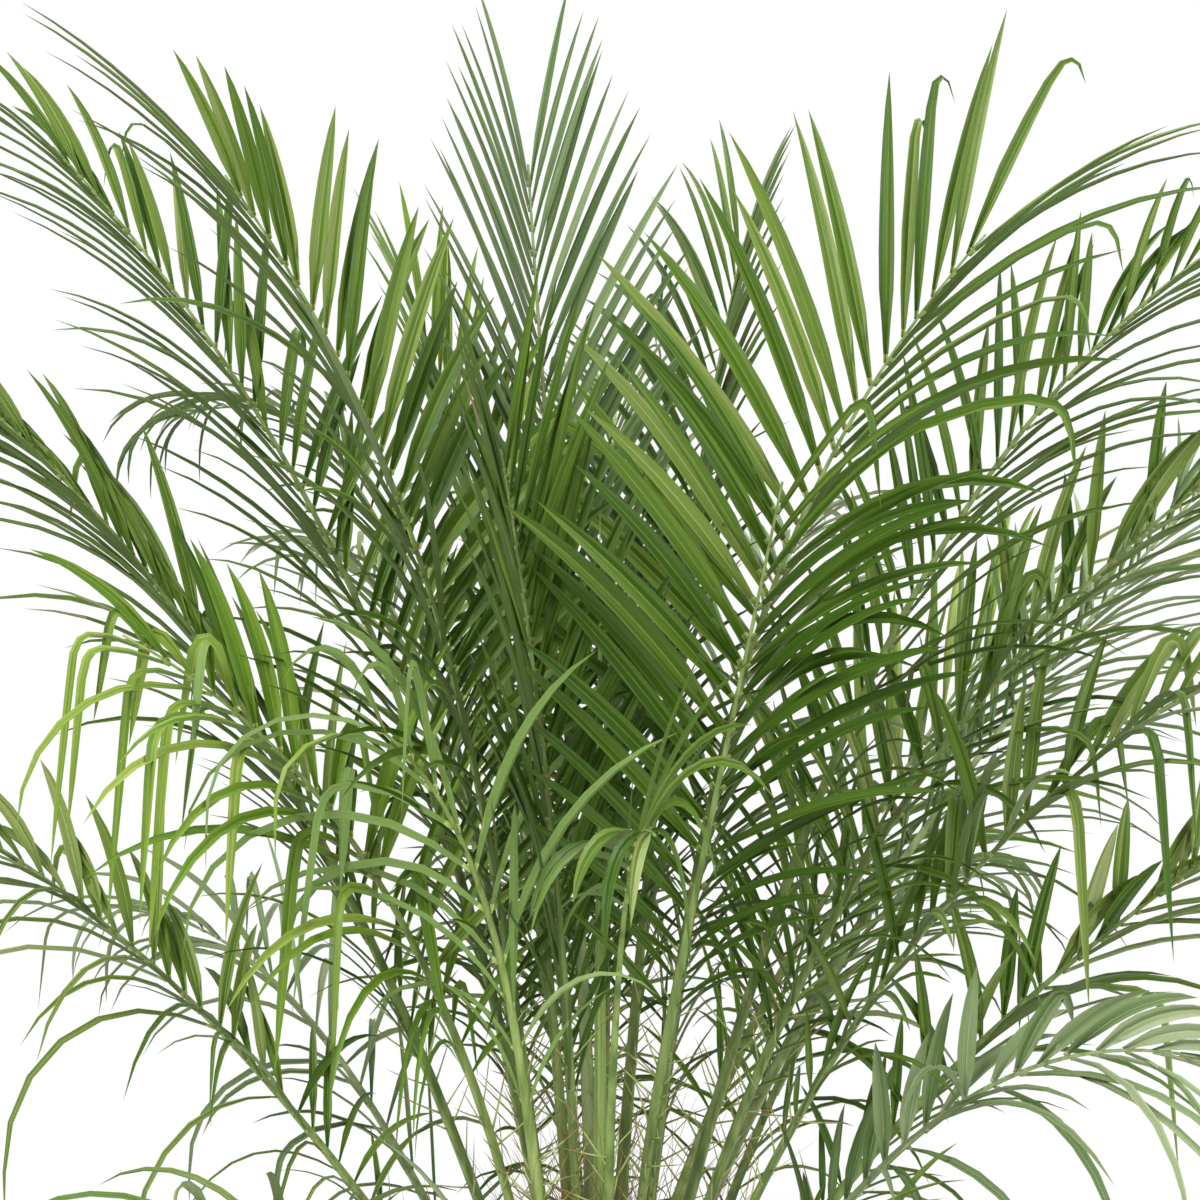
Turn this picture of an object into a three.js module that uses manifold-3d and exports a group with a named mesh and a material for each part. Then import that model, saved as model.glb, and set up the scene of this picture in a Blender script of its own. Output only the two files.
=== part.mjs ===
// A pygmy date palm, Phoenix roebelenii, about 1.6 m tall: a short stem, a crown of
// feather fronds that spring from it at many heights, and one unopened spear leaf.
// Millimetres, +Z up, with the origin at the middle of the flat cut at ground level.
import * as THREE from 'three';
import { mergeVertices } from 'three/addons/utils/BufferGeometryUtils.js';
import Module from 'manifold-3d';

const wasm = await Module();
wasm.setup();

// The stem: its root flare, its bare part, and the cone that carries the fronds.
const stem = {
  groundRadius: 72,
  neckRadius: 44,
  flareHeight: 34,
  crownFoot: 190,
  crownRadius: 50,
  crownTop: 342,
  tipRadius: 12,
  sides: 40,
  barkRings: 13,
  crownRings: 4,
  scarDepth: 5,
  scarRise: 46,
};

// The stalk of a frond: a three-sided rib, flat above and keeled below.
const stalk = {
  footWidth: 17,
  tipWidth: 2.6,
  taper: 1.35,
  depthShare: 0.62,
  bareRings: 4,
  bend: 0.36,
};

// The leaflets: each is a folded blade that stands for one or two of the real ones. Most are
// the leaflets a rib would have if all of it bore them.
const leaflet = {
  most: 44.5,
  width: 17,
  fold: 4.6,
  bendAt: 0.42,
  steps: 8,
  lift: 32,
  terminal: 0.75,
};

const leafTones = { young: 0x6f9a3c, full: 0x47762f, old: 0x5b7d5a };

// The gap from a frond to the stem, and the room kept between leaflets of different fronds.
const footGap = 0.3;
const leafGap = 0.5;

// Every frond, the innermost first. Azimuth 0 is +X and 90 is +Y. Reach and top are the
// place of the rib's tip, rise and bow its angles from the vertical at its foot and tip.
// Twist turns its face about the rib, spread and close are the angles between the rib and
// its lowest and its last leaflets, droop bends them down, and blade is the length of the
// longest of them. Lean makes the right ones longer and slimmer, and the left ones the other
// way. Bare is the share of the rib below them, and tone the frond's age.
const fronds = [
  // name, azimuth, reach, top, rise, bow, twist, spread, close, droop, blade, lean, bare, tone
  ['back_upright', 108, 225, 1440, 2, 12, 0, 36, 14, 0.15, 275, 0, 0.3, 'old'],
  ['front_upright', -38, 200, 1122, 8, 14, 98, 50, 38, 0.25, 290, 0.1, 0.42, 'full'],
  ['back_right_upright', 62, 300, 1370, 8, 26, -20, 42, 16, 0.5, 230, -0.1, 0.3, 'full'],
  ['front_left_inner', 235, 150, 1150, 5, 16, -100, 26, 14, 0.25, 255, 0, 0.32, 'full'],
  ['back_left_upright', 143, 215, 1290, 6, 24, 0, 36, 16, 0.3, 215, 0, 0.3, 'young'],
  ['right_tall', -6, 345, 1345, 8, 42, 50, 56, 24, 0.3, 330, 0.08, 0.36, 'full'],
  ['left_tall', 203, 350, 1385, 11, 38, -60, 52, 16, 0.3, 265, -0.25, 0.32, 'full'],
  ['front_arching', -82, 320, 830, 8, 98, 40, 42, 16, 0.8, 190, -0.2, 0.72, 'full'],
  ['back_left_tall', 170, 515, 1440, 9, 44, -36, 42, 14, 0.4, 235, -0.2, 0.3, 'full'],
  ['back_right_young', 47, 620, 1010, 18, 46, 20, 42, 12, 0.4, 240, 0, 0.3, 'young'],
  ['back_tall', 88, 520, 1260, 14, 60, 0, 42, 12, 0.4, 220, 0, 0.3, 'full'],
  ['right_back_tall', 16, 685, 1400, 16, 62, 36, 42, 12, 0.5, 235, 0.2, 0.3, 'full'],
  ['back_left_drooping', 143, 530, 1200, 14, 105, 0, 48, 20, 0.8, 150, 0, 0.3, 'full'],
  ['front_left_drooping', 203, 440, 990, 14, 62, -60, 46, 20, 0.8, 235, -0.15, 0.4, 'young'],
  ['right_back_long', 37, 850, 1190, 22, 50, 30, 38, 12, 0.6, 220, 0.15, 0.3, 'old'],
  ['left_back_long', 172, 650, 1260, 20, 54, -40, 24, 12, 0.6, 220, -0.15, 0.3, 'full'],
  ['right_long', 1, 640, 1190, 14, 58, 40, 44, 12, 0.5, 220, 0.2, 0.34, 'full'],
  ['front_left_arching', 232, 330, 930, 18, 66, 30, 34, 24, 1.7, 280, 0, 0.44, 'young'],
  ['front_right_upright', -80, 500, 430, 44, 112, 0, 52, 16, 0.9, 190, 0, 0.4, 'full'],
  ['right_front', -18, 600, 985, 22, 62, 30, 52, 16, 0.5, 210, 0.2, 0.34, 'full'],
  ['back_right_middle', 68, 650, 1120, 24, 72, 0, 46, 12, 0.6, 210, 0, 0.28, 'old'],
  ['back_left_middle', 116, 640, 1080, 24, 74, 0, 46, 12, 0.6, 210, 0, 0.28, 'full'],
  ['front_right_arching', -44, 560, 450, 36, 108, 0, 50, 16, 0.9, 190, 0, 0.36, 'full'],
  ['left_low', 184, 620, 850, 34, 62, -30, 46, 14, 1, 205, -0.3, 0.3, 'full'],
  ['right_low', 14, 680, 830, 32, 60, 40, 46, 14, 0.55, 190, 0.25, 0.3, 'full'],
  ['back_low', 96, 700, 760, 36, 90, 0, 50, 14, 0.9, 210, 0, 0.28, 'full'],
  ['right_front_low', -26, 560, 640, 34, 100, 50, 50, 16, 0.6, 180, 0.3, 0.34, 'old'],
  ['back_left_low', 138, 640, 700, 38, 90, 0, 50, 14, 0.9, 200, 0, 0.28, 'old'],
  ['back_right_low', 55, 680, 740, 37, 88, 0, 50, 14, 0.9, 200, 0, 0.28, 'full'],
  ['front_left_low', 224, 560, 500, 44, 106, 0, 50, 16, 0.9, 180, 0, 0.34, 'full'],
  ['front_low', -104, 560, 470, 46, 108, 0, 50, 16, 0.9, 180, 0, 0.38, 'old'],
  ['front_right_low', -60, 560, 490, 46, 106, 0, 50, 16, 0.9, 180, 0, 0.36, 'full'],
].map(([name, azimuth, reach, top, rise, bow, twist, spread, close, droop, blade, lean, bare, tone]) => ({
  name: `frond_${name}`, azimuth, reach, top, rise, bow, twist, spread, close, droop, blade, lean, bare, tone,
}));

// The youngest leaf, still folded shut, stands on the stem's tip.
const spear = { radius: 6.5, length: 760, sides: 6, rings: 5 };

const down = new THREE.Vector3(0, 0, -1);
const radians = THREE.MathUtils.degToRad;
const mix = THREE.MathUtils.lerp;
const smooth = THREE.MathUtils.smoothstep;
const sum = (one, much, other, more) => one.clone().multiplyScalar(much).addScaledVector(other, more);

// The stem's radius at a height: a flare that dies away, a bare neck, and the crown's cone.
function stemRadius(height) {
  if (height >= stem.crownFoot) {
    const climb = (height - stem.crownFoot) / (stem.crownTop - stem.crownFoot);
    return mix(stem.crownRadius, stem.tipRadius, climb);
  }
  const flare = (stem.groundRadius - stem.neckRadius) * Math.exp(-height / stem.flareHeight);
  const swell = (stem.crownRadius - stem.neckRadius) * smooth(height, stem.crownFoot / 2, stem.crownFoot);
  return stem.neckRadius + flare + swell;
}

// Scars of fallen fronds: the lattice where 5 spirals one way cross 8 the other way.
function scar(angle, height) {
  const fade = smooth(height, 0, 20) * (1 - smooth(height, stem.crownFoot - 24, stem.crownFoot - 6));
  const turn = 2 * Math.PI * height / stem.scarRise;
  const bump = Math.cos(5 * angle + turn) * Math.cos(8 * angle - turn);
  return stem.scarDepth * fade * bump;
}

function stemGeometry() {
  const profile = [new THREE.Vector2(0, 0)];
  for (let i = 0; i <= stem.barkRings; i += 1) {
    const height = stem.crownFoot * i / stem.barkRings;
    profile.push(new THREE.Vector2(stemRadius(height), height));
  }
  for (let i = 1; i <= stem.crownRings; i += 1) {
    const height = mix(stem.crownFoot, stem.crownTop, i / stem.crownRings);
    profile.push(new THREE.Vector2(stemRadius(height), height));
  }
  profile.push(new THREE.Vector2(0, stem.crownTop));
  const turned = new THREE.LatheGeometry(profile, stem.sides).rotateX(Math.PI / 2);
  turned.deleteAttribute('normal');
  turned.deleteAttribute('uv');
  const geometry = mergeVertices(turned, 0.001);
  const place = geometry.attributes.position;
  for (let i = 0; i < place.count; i += 1) {
    const radius = Math.hypot(place.getX(i), place.getY(i));
    if (radius < 1) continue;
    const angle = Math.atan2(place.getY(i), place.getX(i));
    const grown = 1 + scar(angle, place.getZ(i)) / radius;
    place.setXY(i, place.getX(i) * grown, place.getY(i) * grown);
  }
  return geometry;
}

function spearGeometry() {
  const cone = new THREE.ConeGeometry(spear.radius, spear.length, spear.sides, spear.rings);
  cone.deleteAttribute('normal');
  cone.deleteAttribute('uv');
  return mergeVertices(cone.rotateX(Math.PI / 2).translate(0, 0, spear.length / 2), 0.001);
}

// A frond's rib is one cubic curve in its own plane, where +X points away from the stem.
function ribCurve(frond, footHeight) {
  const foot = new THREE.Vector3(stemRadius(footHeight), 0, footHeight);
  const tip = new THREE.Vector3(frond.reach, 0, frond.top);
  const pull = stalk.bend * foot.distanceTo(tip);
  const rise = radians(frond.rise);
  const bow = radians(frond.bow);
  const first = sum(foot, 1, new THREE.Vector3(Math.sin(rise), 0, Math.cos(rise)), pull);
  const last = sum(tip, 1, new THREE.Vector3(Math.sin(bow), 0, Math.cos(bow)), -pull);
  return new THREE.CubicBezierCurve3(foot, first, last, tip);
}

// The rib's own axes at a share of its length: along it, up from its face, and to its right.
function ribFrame(frond, curve, share) {
  const point = curve.getPointAt(share);
  const along = curve.getTangentAt(share);
  const flatUp = new THREE.Vector3(-along.z, 0, along.x);
  const flatRight = new THREE.Vector3(0, -1, 0);
  const turn = radians(frond.twist) * smooth(share, 0, 0.45);
  const up = sum(flatUp, Math.cos(turn), flatRight, Math.sin(turn));
  const right = sum(flatRight, Math.cos(turn), flatUp, -Math.sin(turn));
  return { point, along, up, right };
}

function stalkWidth(share) {
  return stalk.tipWidth + (stalk.footWidth - stalk.tipWidth) * (1 - share) ** stalk.taper;
}

// The three corners of the rib's section: its left edge, its right edge and its keel.
function stalkRing(frame, width) {
  const high = width * stalk.depthShare / 3;
  const face = sum(frame.point, 1, frame.up, high);
  const left = sum(face, 1, frame.right, -width / 2);
  const right = sum(face, 1, frame.right, width / 2);
  const keel = sum(face, 1, frame.up, -width * stalk.depthShare);
  return [left, right, keel];
}

// The foot is cut along the stem's cone, so the stalk lies against it with the foot gap.
function seatRing(ring, along) {
  const slope = Math.atan2(stem.crownRadius - stem.tipRadius, stem.crownTop - stem.crownFoot);
  const outward = new THREE.Vector3(Math.cos(slope), 0, Math.sin(slope));
  const onCone = new THREE.Vector3(stemRadius(stem.crownFoot), 0, stem.crownFoot);
  const level = onCone.dot(outward) + footGap;
  return ring.map((corner) => sum(corner, 1, along, (level - corner.dot(outward)) / along.dot(outward)));
}

// A leaflet's length: short low on the rib, longest near its middle, long again at its tip.
function bladeLength(frond, side, share) {
  return frond.blade * (1 + frond.lean * side) * (0.5 + 0.5 * Math.sin(0.82 * Math.PI * share ** 0.8));
}

// The middle line of a leaflet: it leaves the rib forward and outward, lifts towards the
// face, and bends down by its droop, most where it lies level. Upright ones are shorter.
function leafletLine(frond, frame, side, share, change) {
  const forward = radians(mix(frond.spread, frond.close, share ** 3) + change.turn);
  const lift = radians(leaflet.lift + change.lift);
  const outward = sum(frame.right, side * Math.cos(lift), frame.up, Math.sin(lift));
  const start = sum(frame.along, Math.cos(forward), outward, Math.sin(forward));
  const fall = start.angleTo(down);
  const hinge = start.clone().cross(down).normalize();
  const most = frond.droop * radians(18 + 105 * Math.sin(fall) ** 1.5);
  const upright = mix(1.15, 0.98, smooth(start.z, 0.2, 0.9));
  const length = bladeLength(frond, side, share) * change.size * upright;
  const spot = frame.point.clone();
  const line = [];
  for (let i = 0; i <= leaflet.steps; i += 1) {
    const turn = Math.min(most * (i / leaflet.steps) ** 1.4, fall);
    const heading = start.clone().applyAxisAngle(hinge, turn);
    line.push({ spot: spot.clone(), heading });
    spot.addScaledVector(heading, length / leaflet.steps);
  }
  return line;
}

// The folded blade: two edges and a keel where it bends, and a point at its tip.
function leafletBlade(frond, frame, side, share, change, room) {
  const line = leafletLine(frond, frame, side, share, change);
  const bend = line[Math.round(leaflet.bendAt * leaflet.steps)];
  const end = line[leaflet.steps];
  const across = sum(frame.along, 1, bend.heading, -frame.along.dot(bend.heading)).normalize();
  const face = bend.heading.clone().cross(across).normalize();
  if (face.dot(frame.up) < 0) face.negate();
  const broad = leaflet.width / (1 + frond.lean * side);
  const half = broad / 2 * mix(0.75, 1, Math.sin(Math.PI * share)) + room;
  const fold = leaflet.fold / 2 + room;
  const high = sum(bend.spot, 1, face, fold);
  const front = sum(high, 1, across, half);
  const rear = sum(high, 1, across, -half);
  const keel = sum(bend.spot, 1, face, -fold);
  const tip = sum(end.spot, 1, end.heading, room);
  return { front, rear, keel, tip };
}

// Faces of one leaflet: from the four corners of its root to the bend, and on to the tip.
function leafletFaces([a, b, c, d], [keel, first, second], tip) {
  return [
    [a, b, keel], [b, c, first], [b, first, keel], [c, d, second], [c, second, first],
    [d, a, keel], [d, keel, second], [keel, first, tip], [first, second, tip], [second, keel, tip],
  ];
}

// The root of a leaflet is one side face of the rib between two rings.
function rootCorners(rings, segment, side) {
  const [leftNear, rightNear, keelNear] = rings[segment];
  const [leftFar, rightFar, keelFar] = rings[segment + 1];
  return side > 0 ? [keelNear, keelFar, rightFar, rightNear] : [keelFar, keelNear, leftNear, leftFar];
}

function geometryOf(faces) {
  const corners = faces.flat().flatMap((corner) => corner.toArray());
  const geometry = new THREE.BufferGeometry();
  geometry.setAttribute('position', new THREE.Float32BufferAttribute(corners, 3));
  return mergeVertices(geometry, 0.001);
}

// A solid with its bounding box, used to see whether a leaflet has its space to itself.
function claimOf(geometry) {
  geometry.computeBoundingBox();
  const solid = new wasm.Manifold(new wasm.Mesh({
    numProp: 3,
    vertProperties: geometry.attributes.position.array,
    triVerts: new Uint32Array(geometry.index.array),
  }));
  return { solid, box: geometry.boundingBox };
}

function meets(one, other) {
  if (!one.box.intersectsBox(other.box)) return false;
  const shared = one.solid.intersect(other.solid);
  const together = !shared.isEmpty();
  shared.delete();
  return together;
}

// A frond laid out: its rings and, for each piece of rib between two of them, its leaflet.
function layOut(frond, rank) {
  const footHeight = mix(stem.crownTop - 20, stem.crownFoot + 12, rank);
  const curve = ribCurve(frond, footHeight);
  const count = Math.round(leaflet.most * (1 - frond.bare));
  const shares = [];
  for (let i = 0; i < stalk.bareRings; i += 1) shares.push(frond.bare * i / stalk.bareRings);
  for (let i = 0; i <= count; i += 1) shares.push(mix(frond.bare, 1, i / count));
  const frames = shares.map((share) => ribFrame(frond, curve, share));
  const rings = frames.map((frame, i) => stalkRing(frame, stalkWidth(shares[i])));
  rings[0] = seatRing(rings[0], frames[0].along);
  const place = new THREE.Matrix4().makeRotationZ(radians(frond.azimuth));
  return { frond, count, frames, rings, place, leaves: new Map() };
}

// The rib's faces, with each accepted leaflet in place of the side face it grows from.
function frondFaces({ frond, frames, rings, leaves }) {
  const faces = [];
  const quad = (a, b, c, d) => faces.push([a, b, c], [a, c, d]);
  const [leftFoot, rightFoot, keelFoot] = rings[0];
  faces.push([keelFoot, rightFoot, leftFoot]);
  for (let i = 0; i + 1 < rings.length; i += 1) {
    quad(rings[i][0], rings[i][1], rings[i + 1][1], rings[i + 1][0]);
    for (const side of [-1, 1]) {
      const leaf = leaves.get(i);
      if (leaf && leaf.side === side) faces.push(...leaf.faces);
      else quad(...rootCorners(rings, i, side));
    }
  }
  const [left, right, keel] = rings[rings.length - 1];
  const last = frames[frames.length - 1];
  const end = sum(last.point, 1, last.along, leaflet.terminal * frond.blade);
  faces.push([left, right, end], [right, keel, end], [keel, left, end]);
  return faces;
}

// Where a leaflet would meet another frond it is turned, lifted or shortened a little, and
// left out where nothing helps.
const changes = [
  { turn: 0, lift: 0, size: 1 },
  { turn: 0, lift: 14, size: 1 },
  { turn: 0, lift: -14, size: 1 },
  { turn: -9, lift: 0, size: 1 },
  { turn: 9, lift: 8, size: 0.9 },
  { turn: -9, lift: 22, size: 0.8 },
  { turn: 4, lift: -22, size: 0.65 },
];

function growLeaflet(laid, index, claims) {
  const segment = stalk.bareRings + index;
  const side = index % 2 ? 1 : -1;
  const share = index / (laid.count - 1);
  const root = rootCorners(laid.rings, segment, side);
  const facesFor = (change, room) => {
    const frame = laid.frames[segment];
    const { front, rear, keel, tip } = leafletBlade(laid.frond, frame, side, share, change, room);
    const bend = side > 0 ? [keel, front, rear] : [keel, rear, front];
    return leafletFaces(root, bend, tip);
  };
  const [a, b, c, d] = root;
  for (const change of changes) {
    const closed = [...facesFor(change, leafGap), [a, c, b], [a, d, c]];
    const claim = claimOf(geometryOf(closed).applyMatrix4(laid.place));
    if (!claims.some((other) => other.rib !== laid && meets(claim, other))) {
      laid.leaves.set(segment, { side, faces: facesFor(change, 0) });
      claims.push(claim);
      return;
    }
  }
}

function leafMaterial(colour) {
  return new THREE.MeshStandardMaterial({ color: colour, roughness: 0.55, metalness: 0 });
}

function frondMesh(laid) {
  const mesh = new THREE.Mesh(geometryOf(frondFaces(laid)), leafMaterial(leafTones[laid.frond.tone]));
  mesh.name = laid.frond.name;
  mesh.rotation.z = radians(laid.frond.azimuth);
  return mesh;
}

const bark = new THREE.MeshStandardMaterial({ color: 0x6b5540, roughness: 0.95, metalness: 0 });
const stemMesh = new THREE.Mesh(stemGeometry(), bark);
stemMesh.name = 'trunk';

const spearMesh = new THREE.Mesh(spearGeometry(), leafMaterial(leafTones.young));
spearMesh.name = 'spear_leaf';
spearMesh.position.z = stem.crownTop + footGap;

// The stem, the spear and every rib take their space first, and then the leaflets take
// theirs in turn, one from each frond at a time.
const laidOut = fronds.map((frond, i) => layOut(frond, i / (fronds.length - 1)));
const claims = [
  claimOf(stemMesh.geometry.clone()),
  claimOf(spearMesh.geometry.clone().translate(0, 0, spearMesh.position.z)),
  ...laidOut.map((laid) => ({
    ...claimOf(geometryOf(frondFaces(laid)).applyMatrix4(laid.place)),
    rib: laid,
  })),
];
const mostLeaflets = Math.max(...laidOut.map((laid) => laid.count));
for (let index = 0; index < mostLeaflets; index += 1) {
  for (const laid of laidOut) if (index < laid.count) growLeaflet(laid, index, claims);
}

const palm = new THREE.Group();
palm.name = 'pygmy_date_palm';
palm.add(stemMesh, spearMesh, ...laidOut.map(frondMesh));

export default palm;
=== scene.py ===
# A pygmy date palm about 1.6 m tall: a short knobby stem, brown leaf bases round its crown, and
# long ribs with spines below and folded leaflets above. The shapes are worked out in
# millimetres and put into the meshes in metres. +Z is up, and the ground is at 0.
import bpy
import numpy as np
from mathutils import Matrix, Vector


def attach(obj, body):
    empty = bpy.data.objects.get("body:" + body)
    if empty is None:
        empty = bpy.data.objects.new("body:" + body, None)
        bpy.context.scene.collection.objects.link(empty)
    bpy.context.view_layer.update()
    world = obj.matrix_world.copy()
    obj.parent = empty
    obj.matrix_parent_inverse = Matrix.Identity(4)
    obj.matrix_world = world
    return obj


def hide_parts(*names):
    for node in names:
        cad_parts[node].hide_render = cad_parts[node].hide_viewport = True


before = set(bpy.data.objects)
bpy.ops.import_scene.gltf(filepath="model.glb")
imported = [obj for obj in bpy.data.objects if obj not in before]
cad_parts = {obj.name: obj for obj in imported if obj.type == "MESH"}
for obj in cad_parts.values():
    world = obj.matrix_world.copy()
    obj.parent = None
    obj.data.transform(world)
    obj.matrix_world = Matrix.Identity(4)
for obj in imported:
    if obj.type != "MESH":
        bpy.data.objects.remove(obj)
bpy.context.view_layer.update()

millimetre = 0.001
rng = np.random.default_rng(20)

# The stem: its flare, its bare neck, and the cone that carries the fronds. The innermost foot
# is firstFoot below the cone's top, and the outermost lastFoot above its lower edge. A lattice
# of knobs, in each of scarColumns one every half scarRise, is what old fronds have left. Those
# higher than knobPale are paler. Columns and rows are the mesh's own.
stem = {
    "groundRadius": 72,
    "neckRadius": 44,
    "flareHeight": 34,
    "crownFoot": 190,
    "crownRadius": 50,
    "crownTop": 342,
    "tipRadius": 12,
    "firstFoot": 20,
    "lastFoot": 12,
    "scarRise": 46,
    "scarColumns": 13,
    "scarSpirals": 3,
    "knobFoot": 14,
    "knobTop": 20,
    "knobDepth": 8,
    "knobSink": 0.45,
    "knobLean": 6,
    "knobPale": 0.4,
    "columns": 260,
    "rows": 150,
    "coneRows": 12,
}

# The rib of a frond: its width from foot to tip, how far its curve is pulled at both ends, and
# the share of its length by which it has made its twist. Edge is how far from its middle the
# leaflets spring, as a share of its width. Steps are the points that measure its length.
rib = {
    "footWidth": 17,
    "tipWidth": 2.6,
    "taper": 1.35,
    "bend": 0.36,
    "twistedBy": 0.45,
    "edge": 0.36,
    "steps": 401,
    "rings": 56,
}

# Every frond, the innermost first. Azimuth 0 is +X and 90 is +Y. Reach and top are the place of
# the rib's tip, rise and bow its angles from the vertical at foot and tip. Twist turns its face
# about the rib. Spread and close are the angles between the rib and its lowest and its last
# leaflets, droop bends them down, blade and width are the size of the longest, and gap is between
# two of one side. Lean makes the right ones longer and slimmer, and the left ones the other
# way. Bare is the share of the rib below them, folded how many are bent, and foldAt where.
frondWords = (
    "name azimuth reach top rise bow twist spread close droop blade lean width gap "
    "tone bare folded foldAt")
frondRows = [
    ("back_upright", 108, 225, 1440, 2, 12, 0, 36, 14, 0.15, 275, 0, 12, 23,
     "old", 0.3, 0, 0.8),
    ("front_upright", -38, 200, 1122, 8, 14, 98, 50, 38, 0.25, 290, 0.1, 17, 28,
     "full", 0.42, 0.12, 0.62),
    ("back_right_upright", 62, 300, 1370, 8, 26, -20, 42, 16, 0.5, 230, -0.1, 11, 20,
     "full", 0.3, 0.06, 0.8),
    ("front_left_inner", 235, 150, 1150, 5, 16, -100, 26, 14, 0.25, 255, 0, 12, 22,
     "full", 0.32, 0.05, 0.8),
    ("back_left_upright", 143, 215, 1290, 6, 24, 0, 36, 16, 0.3, 215, 0, 12, 23,
     "young", 0.3, 0, 0.8),
    ("right_tall", -6, 345, 1345, 8, 42, 50, 56, 24, 0.3, 330, 0.08, 16, 24,
     "full", 0.36, 0.2, 0.86),
    ("left_tall", 203, 350, 1385, 11, 38, -60, 52, 16, 0.3, 265, -0.25, 13, 23,
     "full", 0.32, 0.08, 0.8),
    ("front_arching", -82, 320, 830, 8, 98, 40, 42, 16, 0.8, 190, -0.2, 12, 24,
     "full", 0.72, 0.1, 0.36),
    ("back_left_tall", 170, 515, 1440, 9, 44, -36, 42, 14, 0.4, 235, -0.2, 10, 22,
     "full", 0.3, 0.15, 0.75),
    ("back_right_young", 47, 620, 1010, 18, 46, 20, 42, 12, 0.4, 240, 0, 14, 25,
     "young", 0.3, 0, 0.8),
    ("back_tall", 88, 520, 1260, 14, 60, 0, 42, 12, 0.4, 220, 0, 10, 21,
     "full", 0.3, 0.05, 0.8),
    ("right_back_tall", 16, 685, 1400, 16, 62, 36, 42, 12, 0.5, 235, 0.2, 9, 21,
     "full", 0.3, 0.1, 0.8),
    ("back_left_drooping", 143, 530, 1200, 14, 105, 0, 48, 20, 0.8, 150, 0, 8, 18,
     "full", 0.3, 0.1, 0.8),
    ("front_left_drooping", 203, 440, 990, 14, 62, -60, 46, 20, 0.8, 235, -0.15, 13, 24,
     "young", 0.4, 0.5, 0.34),
    ("right_back_long", 37, 850, 1190, 22, 50, 30, 38, 12, 0.6, 220, 0.15, 9, 21,
     "old", 0.3, 0.08, 0.7),
    ("left_back_long", 172, 650, 1260, 20, 54, -40, 24, 12, 0.6, 220, -0.15, 10, 20,
     "full", 0.3, 0.15, 0.5),
    ("right_long", 1, 640, 1190, 14, 58, 40, 44, 12, 0.5, 220, 0.2, 11, 25,
     "full", 0.34, 0.1, 0.7),
    ("front_left_arching", 232, 330, 930, 18, 66, 30, 34, 24, 1.7, 280, 0, 12, 44,
     "young", 0.44, 0.1, 0.5),
    ("front_right_upright", -80, 500, 430, 44, 112, 0, 52, 16, 0.9, 190, 0, 9, 22,
     "full", 0.4, 0.1, 0.7),
    ("right_front", -18, 600, 985, 22, 62, 30, 52, 16, 0.5, 210, 0.2, 12, 24,
     "full", 0.34, 0.45, 0.5),
    ("back_right_middle", 68, 650, 1120, 24, 72, 0, 46, 12, 0.6, 210, 0, 10, 21,
     "old", 0.28, 0.1, 0.7),
    ("back_left_middle", 116, 640, 1080, 24, 74, 0, 46, 12, 0.6, 210, 0, 10, 21,
     "full", 0.28, 0.1, 0.7),
    ("front_right_arching", -44, 560, 450, 36, 108, 0, 50, 16, 0.9, 190, 0, 9, 22,
     "full", 0.36, 0.1, 0.7),
    ("left_low", 184, 620, 850, 34, 62, -30, 46, 14, 1, 205, -0.3, 9, 21,
     "full", 0.3, 0.15, 0.6),
    ("right_low", 14, 680, 830, 32, 60, 40, 46, 14, 0.55, 190, 0.25, 12, 24,
     "full", 0.3, 0.3, 0.42),
    ("back_low", 96, 700, 760, 36, 90, 0, 50, 14, 0.9, 210, 0, 10, 21,
     "full", 0.28, 0.1, 0.7),
    ("right_front_low", -26, 560, 640, 34, 100, 50, 50, 16, 0.6, 180, 0.3, 12, 25,
     "old", 0.34, 0.15, 0.8),
    ("back_left_low", 138, 640, 700, 38, 90, 0, 50, 14, 0.9, 200, 0, 9, 26,
     "old", 0.28, 0.1, 0.7),
    ("back_right_low", 55, 680, 740, 37, 88, 0, 50, 14, 0.9, 200, 0, 10, 21,
     "full", 0.28, 0.1, 0.7),
    ("front_left_low", 224, 560, 500, 44, 106, 0, 50, 16, 0.9, 180, 0, 9, 25,
     "full", 0.34, 0.1, 0.7),
    ("front_low", -104, 560, 470, 46, 108, 0, 50, 16, 0.9, 180, 0, 9, 23,
     "old", 0.38, 0.1, 0.7),
    ("front_right_low", -60, 560, 490, 46, 106, 0, 50, 16, 0.9, 180, 0, 9, 23,
     "full", 0.36, 0.1, 0.7),
]
fronds = [
    dict(zip(frondWords.split(), row), rank=place / (len(frondRows) - 1))
    for place, row in enumerate(frondRows)]
tones = ("young", "full", "old")
frondSets = {tone: [frond for frond in fronds if frond["tone"] == tone] for tone in tones}
print(f"{len(fronds)} fronds in the table")


# first + (last - first) * share
def mix(first, last, share):
    return first + (last - first) * share


# 0 below low, 1 above high, and 3 s^2 - 2 s^3 between them.
def smoothstep(value, low, high):
    share = np.clip((value - low) / (high - low), 0, 1)
    return share * share * (3 - 2 * share)


# Each vector divided by its length.
def unit(vectors):
    return vectors / np.linalg.norm(vectors, axis=-1, keepdims=True)


# The sum of x x', y y' and z z', kept as a column.
def dot(first, second):
    return np.sum(first * second, axis=-1, keepdims=True)


# Turned about +Z by an angle in degrees: x' = x cos - y sin, y' = x sin + y cos.
def turnedAboutZ(vectors, degrees):
    angle = np.radians(degrees)
    x = vectors[..., 0] * np.cos(angle) - vectors[..., 1] * np.sin(angle)
    y = vectors[..., 0] * np.sin(angle) + vectors[..., 1] * np.cos(angle)
    return np.stack([x, y, vectors[..., 2]], -1)


# Vectors turned about unit axes by angles in radians, by Rodrigues' formula.
def turnedAbout(axes, vectors, angles):
    level = axes * dot(axes, vectors) * (1 - np.cos(angles))
    return vectors * np.cos(angles) + np.cross(axes, vectors) * np.sin(angles) + level


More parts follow.
